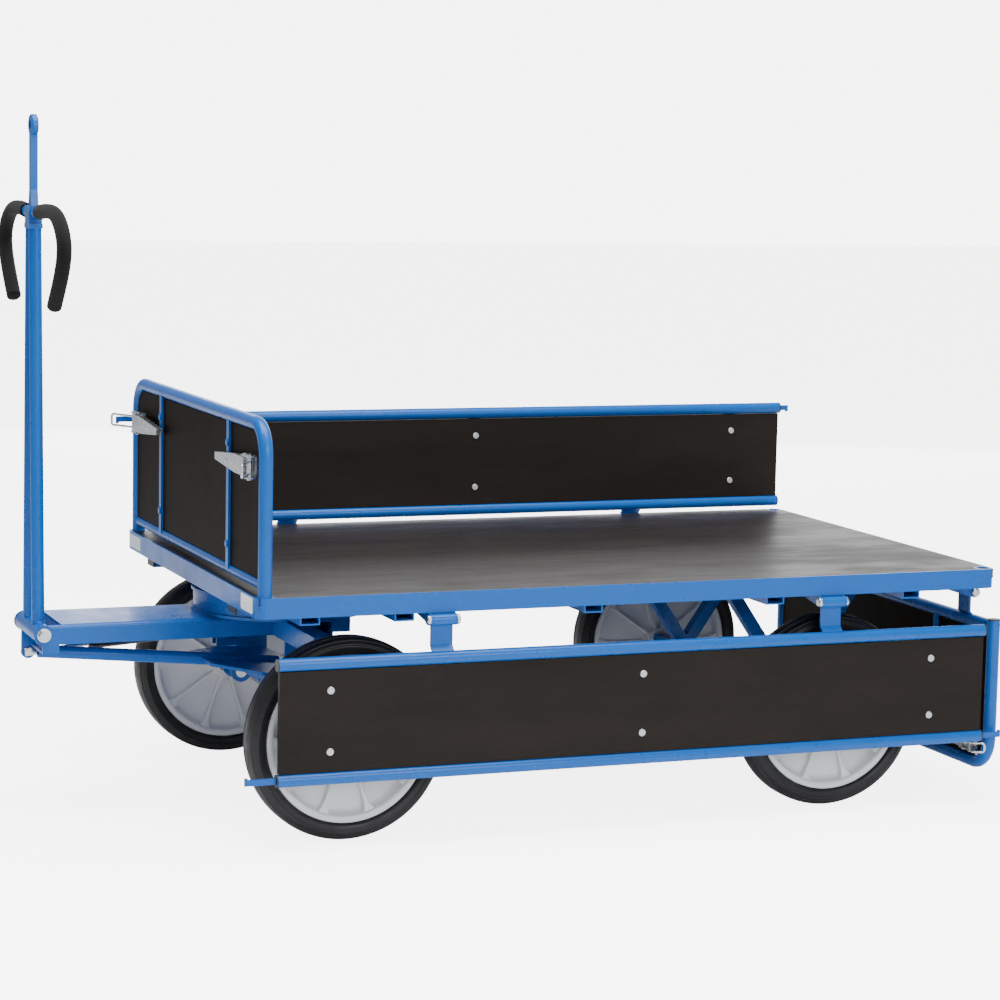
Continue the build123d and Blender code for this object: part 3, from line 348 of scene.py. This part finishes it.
def finished_piece(name, mesh, body, finish, smooth_angle=40.0):
    """Turns a bmesh into a shaded piece that rides on a body."""
    bmesh.ops.recalc_face_normals(mesh, faces=mesh.faces)
    data = bpy.data.meshes.new(name)
    mesh.to_mesh(data)
    mesh.free()
    piece = bpy.data.objects.new(name, data)
    bpy.context.scene.collection.objects.link(piece)
    data.materials.append(finish)
    data.polygons.foreach_set("use_smooth", [True] * len(data.polygons))
    data.set_sharp_from_angle(angle=math.radians(smooth_angle))
    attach(piece, body)
    return piece


print("turning tools ready")

# %% [markdown]
# ## The tyre
# A solid tyre 400 mm across and 70 mm wide. The tread is slightly crowned and carries four fine
# grooves near the shoulders. On each side a step ring stands where the two halves of the mould
# meet the rim, and the bead tucks in behind the rim's flange.

# %% Tyre outline
WHEEL_R, TYRE_HALF, RIM_R = 200.0, 35.0, 165.0
GROOVES = (8.0, 14.5)          # groove centres, either side of the middle of the tread
GROOVE_HALF, GROOVE_DEPTH = 1.1, 1.8


def half_tyre_outline():
    """From the middle of the tread out to the bead, one side."""
    points, radii = [(WHEEL_R, 0.0)], [0.0]
    for centre in GROOVES:
        crown = WHEEL_R - (centre / TYRE_HALF) ** 2 * 2.0
        points += [(crown, centre - GROOVE_HALF), (crown - GROOVE_DEPTH, centre - GROOVE_HALF * 0.5),
                   (crown - GROOVE_DEPTH, centre + GROOVE_HALF * 0.5), (crown, centre + GROOVE_HALF)]
        radii += [0.3, 0.3, 0.3, 0.3]
    shoulder = [(196.5, 25.0), (194.6, 26.4), (193.6, 26.4), (192.4, 27.8), (188.0, 32.0), (186.4, 32.3)]
    ring_and_bead = [(185.4, 34.2), (184.0, 34.9), (181.0, 34.9), (180.0, 33.8), (174.0, 33.2),
                     (168.5, 31.2), (RIM_R + 0.2, 26.2)]
    points += shoulder + ring_and_bead
    radii += [4.0, 0.4, 0.4, 0.5, 2.5, 0.4, 0.6, 0.8, 0.8, 0.6, 3.0, 2.0, 0.0]
    return points, radii


half_points, half_radii = half_tyre_outline()
tyre_points = half_points + [(r, -w) for r, w in reversed(half_points[1:])]
tyre_radii = half_radii + list(reversed(half_radii[1:]))
TYRE_OUTLINE = rounded(tyre_points, tyre_radii, 3)
print("tyre outline of", len(TYRE_OUTLINE), "points")

# %% [markdown]
# ## The rim
# One moulding: a barrel under the tyre, a rounded flange each side, a dished web a few
# millimetres thick, a hub with two stepped collars, and ten ribs each side that run from the hub
# to the barrel. Each rib is narrow at the hub and flares at the barrel, as moulded ribs do to
# carry load into the flange. A thin ring joins the rib ends.

# %% Rim shapes
HUB_R, HUB_HALF, BORE_R = 32.0, 37.0, 12.8
WEB_HALF = 3.5
RIB_COUNT = 10


def half_rim_outline():
    """From the bore out along the hub, down the web and up to the flange, one side."""
    hub = [(BORE_R, 0.0), (BORE_R, HUB_HALF - 1.0), (BORE_R + 1.2, HUB_HALF), (24.0, HUB_HALF),
           (25.5, HUB_HALF - 3.0), (30.0, HUB_HALF - 3.0), (HUB_R, HUB_HALF - 6.0), (HUB_R + 2.0, 16.0)]
    web = [(HUB_R + 10.0, WEB_HALF + 6.0), (60.0, WEB_HALF + 3.0), (128.0, WEB_HALF),
           (143.0, WEB_HALF + 0.5), (148.5, WEB_HALF + 6.0)]
    flange = [(150.5, 22.0), (152.0, 25.6), (155.0, 27.6), (160.5, 28.4), (164.2, 27.2),
              (164.9, 25.0), (RIM_R - 0.1, 12.0)]
    hub_radii = [0.0, 0.8, 0.8, 1.0, 1.2, 1.2, 2.0, 6.0]
    web_radii = [6.0, 12.0, 8.0, 4.0, 4.0]
    flange_radii = [3.0, 1.5, 2.0, 2.0, 1.2, 1.0, 0.0]
    return hub + web + flange, hub_radii + web_radii + flange_radii


rim_half_points, rim_half_radii = half_rim_outline()
RIM_OUTLINE = rounded(rim_half_points + [(r, -w) for r, w in reversed(rim_half_points[1:])],
                      rim_half_radii + list(reversed(rim_half_radii[1:])), 4)
print("rim outline of", len(RIM_OUTLINE), "points")


# %% Ribs
RIB_EDGE = 0.9                         # mm taken off each long edge of a rib's crest


def rib_stations():
    """Along a rib: radius, half width at the foot, half width at the crest, height of the crest."""
    narrow = [(HUB_R - 1.0, 5.5, 4.0, 27.0), (40.0, 4.8, 3.2, 24.0), (60.0, 4.2, 2.6, 19.5),
              (90.0, 4.0, 2.4, 16.0), (118.0, 4.6, 2.8, 15.0)]
    flare = [(134.0, 6.5, 4.4, 16.5), (142.0, 9.5, 7.0, 18.5), (148.0, 13.0, 10.0, 20.5),
             (152.0, 15.0, 12.0, 21.5)]
    return narrow + flare


def rib_section(foot, crest, height):
    """Across a rib: (distance from its middle, height over the wheel's middle), foot to foot."""
    half = [(crest - RIB_EDGE, height), (crest + 0.2, height - RIB_EDGE), (foot, WEB_HALF - 2.0)]
    return [(-across, up) for across, up in reversed(half)] + [(0.0, height + 0.35)] + half


def add_ribs(mesh, side):
    """Ten flared ribs on one side of the web."""
    for count in range(RIB_COUNT):
        turn = Matrix.Rotation(2 * math.pi * count / RIB_COUNT, 3, "Y")
        sections = []
        for r, foot, crest, height in rib_stations():
            sections.append([mesh.verts.new(turn @ Vector((r * MM, side * up * MM, across * MM)))
                             for across, up in rib_section(foot, crest, height)])
        for near, far in zip(sections, sections[1:]):
            for i in range(len(near) - 1):
                mesh.faces.new((near[i], near[i + 1], far[i + 1], far[i]))
        mesh.faces.new(sections[0])
        mesh.faces.new(list(reversed(sections[-1])))


print(RIB_COUNT, "ribs on each side of a rim")


# %% Four wheels
def make_wheel(place_name, centre):
    """One tyre and one rim, riding on their own wheel body."""
    body = "wheel_" + place_name
    for kind, slot_name, finish in (("tyre", "tyre", tyre_rubber), ("rim", "rim_plastic", rim_plastic)):
        mesh = bmesh.new()
        turned(mesh, TYRE_OUTLINE if kind == "tyre" else RIM_OUTLINE)
        if kind == "rim":
            add_ribs(mesh, 1)
            add_ribs(mesh, -1)
        bmesh.ops.translate(mesh, verts=mesh.verts, vec=centre)
        piece = finished_piece(f"{kind}_shown_{place_name}", mesh, body, finish, 32.0)
        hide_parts(f"{kind}_{place_name}")


for end in ("front", "rear"):
    for hand in ("left", "right"):
        low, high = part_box(f"tyre_{end}_{hand}")
        make_wheel(f"{end}_{hand}", (low + high) / 2)
print("made four tyres and four rims")

# %% [markdown]
# ## Rounded sheets: labels
# Two plain labels are stuck on the front rail: a white one near the left corner and a pale foil
# plate at the far end. Both are cut with round corners and lie a fraction of a millimetre proud.

# %% Labels
def rounded_sheet(mesh, corner, across, up, width, height, radius, thick):
    """A thin plate with round corners. corner is in metres; across and up are directions."""
    out = across.cross(up).normalized()
    outline = []
    corners = ((width - radius, height - radius, 0), (radius, height - radius, 90),
               (radius, radius, 180), (width - radius, radius, 270))
    for cx, cy, start in corners:
        for step in range(7):
            angle = math.radians(start + 15 * step)
            outline.append((cx + radius * math.cos(angle), cy + radius * math.sin(angle)))
    low = [mesh.verts.new(corner + (across * u + up * v) * MM) for u, v in outline]
    high = [mesh.verts.new(corner + (across * u + up * v + out * thick) * MM) for u, v in outline]
    mesh.faces.new(high)
    mesh.faces.new(list(reversed(low)))
    for i in range(len(outline)):
        j = (i + 1) % len(outline)
        mesh.faces.new((low[i], low[j], high[j], high[i]))


def stick_label(name, start_y, width, height, radius, finish):
    """One label on the front rail, whose right-hand edge is at start_y."""
    rail_face, label_low, sheet = 800.02, 456.0, 0.4
    mesh = bmesh.new()
    rounded_sheet(mesh, place(rail_face, start_y, label_low), Vector((0, 1, 0)), Vector((0, 0, 1)),
                  width, height, radius, sheet)
    finished_piece(name, mesh, "chassis", finish)


stick_label("front_label", 389.0, 78.0, 31.0, 5.0, label_vinyl)
stick_label("type_plate", -476.0, 92.0, 28.0, 3.0, type_plate_foil)
print("made two blank labels")

# %% [markdown]
# ## Rivets on the latch handles
# Each latch handle is folded sheet with one rivet half way along its face. The rivet head is a
# low dome, pressed as the latch is put together.

# %% Latch rivets
def add_dome(mesh, centre, direction, radius, height, steps=20, rings=5):
    """A low dome standing on centre, in metres, that points along direction."""
    turn = Vector((0, 0, 1)).rotation_difference(direction).to_matrix()
    top = mesh.verts.new(centre + turn @ Vector((0, 0, height * MM)))
    loops = []
    for ring in range(1, rings + 1):
        t = ring / rings
        r, h = radius * math.sin(t * math.pi / 2), height * math.cos(t * math.pi / 2)
        angles = [2 * math.pi * step / steps for step in range(steps)]
        loops.append([mesh.verts.new(centre + turn @ (Vector((r * math.cos(a), r * math.sin(a), h)) * MM))
                      for a in angles])
    for s in range(steps):
        n = (s + 1) % steps
        mesh.faces.new((top, loops[0][s], loops[0][n]))
        for inner, outer in zip(loops, loops[1:]):
            mesh.faces.new((inner[s], outer[s], outer[n], inner[n]))
    mesh.faces.new(list(reversed(loops[-1])))


RIVETS = ((0.42, 4.6), (0.62, 2.4))    # place along the handle from its tip, head radius
RIVET_HEIGHT, RIVET_SUNK = 1.8, 0.2


def add_latch_rivets():
    """Two rivet heads on each handle's outer face."""
    for end in ("front", "rear"):
        for hand in ("left", "right"):
            node = f"latch_handle_{end}_{hand}"
            low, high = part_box(node)
            middle = (low + high) / 2
            mesh = bmesh.new()
            for share, radius in RIVETS:
                y = low.y + (high.y - low.y) * (share if hand == "left" else 1 - share)
                foot = Vector((high.x - RIVET_SUNK * MM, y, middle.z))
                add_dome(mesh, foot, Vector((1, 0, 0)), radius, RIVET_HEIGHT)
            finished_piece(f"latch_rivet_{end}_{hand}", mesh, node, zinc_plate)


add_latch_rivets()
print("made rivets for four latch handles")

# %% [markdown]
# ## Closed ends of the grips
# Each foam sleeve is slipped over the handlebar and its end is moulded shut, so the tip is a
# shallow dome of the same foam with no tube to be seen.

# %% Grip tips
DRAWBAR_X = 1117.0
GRIP_TIP_Y, GRIP_TIP_Z = 186.0, 1022.0
GRIP_R, TIP_HEIGHT, TIP_SUNK = 14.45, 4.5, 0.4

mesh = bmesh.new()
for side in (-1, 1):
    along = Vector((0, -side, -1)).normalized()
    tip = place(DRAWBAR_X, side * GRIP_TIP_Y, GRIP_TIP_Z)
    add_dome(mesh, tip - along * TIP_SUNK * MM, along, GRIP_R, TIP_HEIGHT, 32, 8)
finished_piece("grip_tips", mesh, "drawbar", grip_foam, 60.0)
print("closed both grips")

# %% [markdown]
# ## Weld beads
# The tubes meet in fillet welds. Under the coat a bead shows as a soft rounded rope of ripples
# round the joint, a little wider on one side. Each one is a ring swept round the smaller tube.

# %% Weld beads
BEAD_STEPS, BEAD_SIDES = 72, 6
RIPPLE, RIPPLE_TURN = 0.15, 2.2        # share of the thickness, and radians from step to step


def add_bead(mesh, centre, direction, tube_r, thick=2.2):
    """A rippled ring of weld round a tube end: centre in millimetres from the bed's middle."""
    turn = Vector((0, 0, 1)).rotation_difference(Vector(direction).normalized()).to_matrix()
    loops = []
    for step in range(BEAD_STEPS):
        a = 2 * math.pi * step / BEAD_STEPS
        swell = thick * (1 + RIPPLE * math.sin(step * RIPPLE_TURN))
        ring = []
        for k in range(BEAD_SIDES):
            b = 2 * math.pi * k / BEAD_SIDES
            r = tube_r + swell * 0.55 * math.cos(b)
            point = Vector((r * math.cos(a), r * math.sin(a), swell * 0.8 * math.sin(b)))
            ring.append(mesh.verts.new(place(*centre) + turn @ point * MM))
        loops.append(ring)
    for i in range(BEAD_STEPS):
        here, after = loops[i], loops[(i + 1) % BEAD_STEPS]
        for k in range(BEAD_SIDES):
            n = (k + 1) % BEAD_SIDES
            mesh.faces.new((here[k], here[n], after[n], after[k]))


def weld_beads():
    """Beads of the front wall, and of the drawbar's foot."""
    post_x, post_y, post_r = 780.0, 480.0, 13.5
    mesh = bmesh.new()
    for side in (-1, 1):
        cross_tube_end = (post_x, side * (post_y - post_r), 512.0)
        add_bead(mesh, cross_tube_end, (0, 1, 0), 10.0)
        socket_top = (post_x, side * post_y, 490.5)
        add_bead(mesh, socket_top, (0, 0, 1), 14.2, 1.6)
    finished_piece("front_wall_welds", mesh, "chassis", blue_coat, 80.0)
    mesh = bmesh.new()
    for side in (-1, 1):
        shaft_foot = (DRAWBAR_X, side * 41.0, 386.5)
        add_bead(mesh, shaft_foot, (0, side * 0.035, 1), 13.0, 2.6)
    finished_piece("shaft_welds", mesh, "drawbar", blue_coat, 80.0)


weld_beads()
print("made weld beads")

# %% [markdown]
# ## Room, light and camera
# A plain pale floor and an even, bright room. One large soft lamp from above gives the long pale
# highlights on the tubes and the bed, a weaker one beside opens the
# shadows, and a bright wall behind shines along the bed and the top of the drawbar channel.

# %% Floor and light
def flat_sheet(name, size, height, colour):
    """A wide level sheet that looks evenly white and throws back a little light."""
    mesh = bmesh.new()
    bmesh.ops.create_grid(mesh, x_segments=24, y_segments=24, size=size)
    data = bpy.data.meshes.new(name)
    mesh.to_mesh(data)
    mesh.free()
    sheet = bpy.data.objects.new(name, data)
    sheet.location.z = height
    bpy.context.scene.collection.objects.link(sheet)
    finish, shader = new_finish(name + " paint", colour, **{"Roughness": 0.9, "Specular IOR Level": 0.1})
    vary(finish, shader, "Roughness", spread(finish, grain(finish, 400.0), 0.85, 0.95))
    shader.inputs["Emission Color"].default_value = (1.0, 1.0, 1.0, 1.0)
    seen = add_node(finish, "ShaderNodeLightPath").outputs["Is Camera Ray"]
    vary(finish, shader, "Emission Strength", spread(finish, seen, 0.12, 5.0, 0.0, 1.0))
    dress(sheet, finish)
    return sheet


floor = flat_sheet("floor", 30.0, -0.0005, "#FDFDFD")

world = bpy.data.worlds.new("bright room")
bpy.context.scene.world = world
world.use_nodes = True
background = world.node_tree.nodes["Background"]
background.inputs["Color"].default_value = (1.0, 1.0, 1.0, 1.0)
seen = world.node_tree.nodes.new("ShaderNodeLightPath").outputs["Is Camera Ray"]
brightness = world.node_tree.nodes.new("ShaderNodeMapRange")
brightness.inputs["To Min"].default_value, brightness.inputs["To Max"].default_value = 0.42, 6.4
world.node_tree.links.new(seen, brightness.inputs["Value"])
world.node_tree.links.new(brightness.outputs["Result"], background.inputs["Strength"])


def soft_lamp(name, where, target, size, power):
    """A large soft lamp that shines from where to target and is not itself in view."""
    light = bpy.data.lights.new(name, "AREA")
    light.shape, light.size, light.size_y, light.energy = "RECTANGLE", size[0], size[1], power
    lamp = bpy.data.objects.new(name, light)
    bpy.context.scene.collection.objects.link(lamp)
    lamp.location = Vector(where)
    lamp.rotation_mode = "QUATERNION"
    lamp.rotation_quaternion = (Vector(target) - Vector(where)).to_track_quat("-Z", "Y")
    lamp.visible_camera = False
    return lamp


print("made the floor and the room")

# %% Lamps
soft_lamp("overhead soft box", (0.3, 0.6, 4.2), (0.0, 0.0, 0.4), (4.0, 3.0), 330.0)
soft_lamp("side fill", (-0.5, 5.2, 2.4), (0.0, 0.0, 0.4), (3.0, 2.0), 150.0)
soft_lamp("bright wall behind", (-2.6, -6.2, 1.9), (0.0, 0.0, 0.5), (5.0, 3.4), 130.0)
print("made three soft lamps")

# %% Camera
camera_data = bpy.data.cameras.new("camera")
camera = bpy.data.objects.new("camera", camera_data)
bpy.context.scene.collection.objects.link(camera)
bpy.context.scene.camera = camera
camera_data.sensor_width, camera_data.lens = 36.0, 103.06
yaw, pitch, roll = -0.376, -0.125, 0.020
forward = Vector((math.sin(yaw) * math.cos(pitch), -math.cos(yaw) * math.cos(pitch), math.sin(pitch)))
level = Vector((-math.cos(yaw), -math.sin(yaw), 0.0))
upright = level.cross(forward)
right = level * math.cos(roll) + upright * math.sin(roll)
top = upright * math.cos(roll) - level * math.sin(roll)
camera.matrix_world = Matrix.Translation((2.175588, 5.607262, 1.355335)) @ Matrix(
    (right, top, -forward)).transposed().to_4x4()
print("camera at", [round(v, 3) for v in camera.location])

# %% Update the scene
bpy.context.view_layer.update()
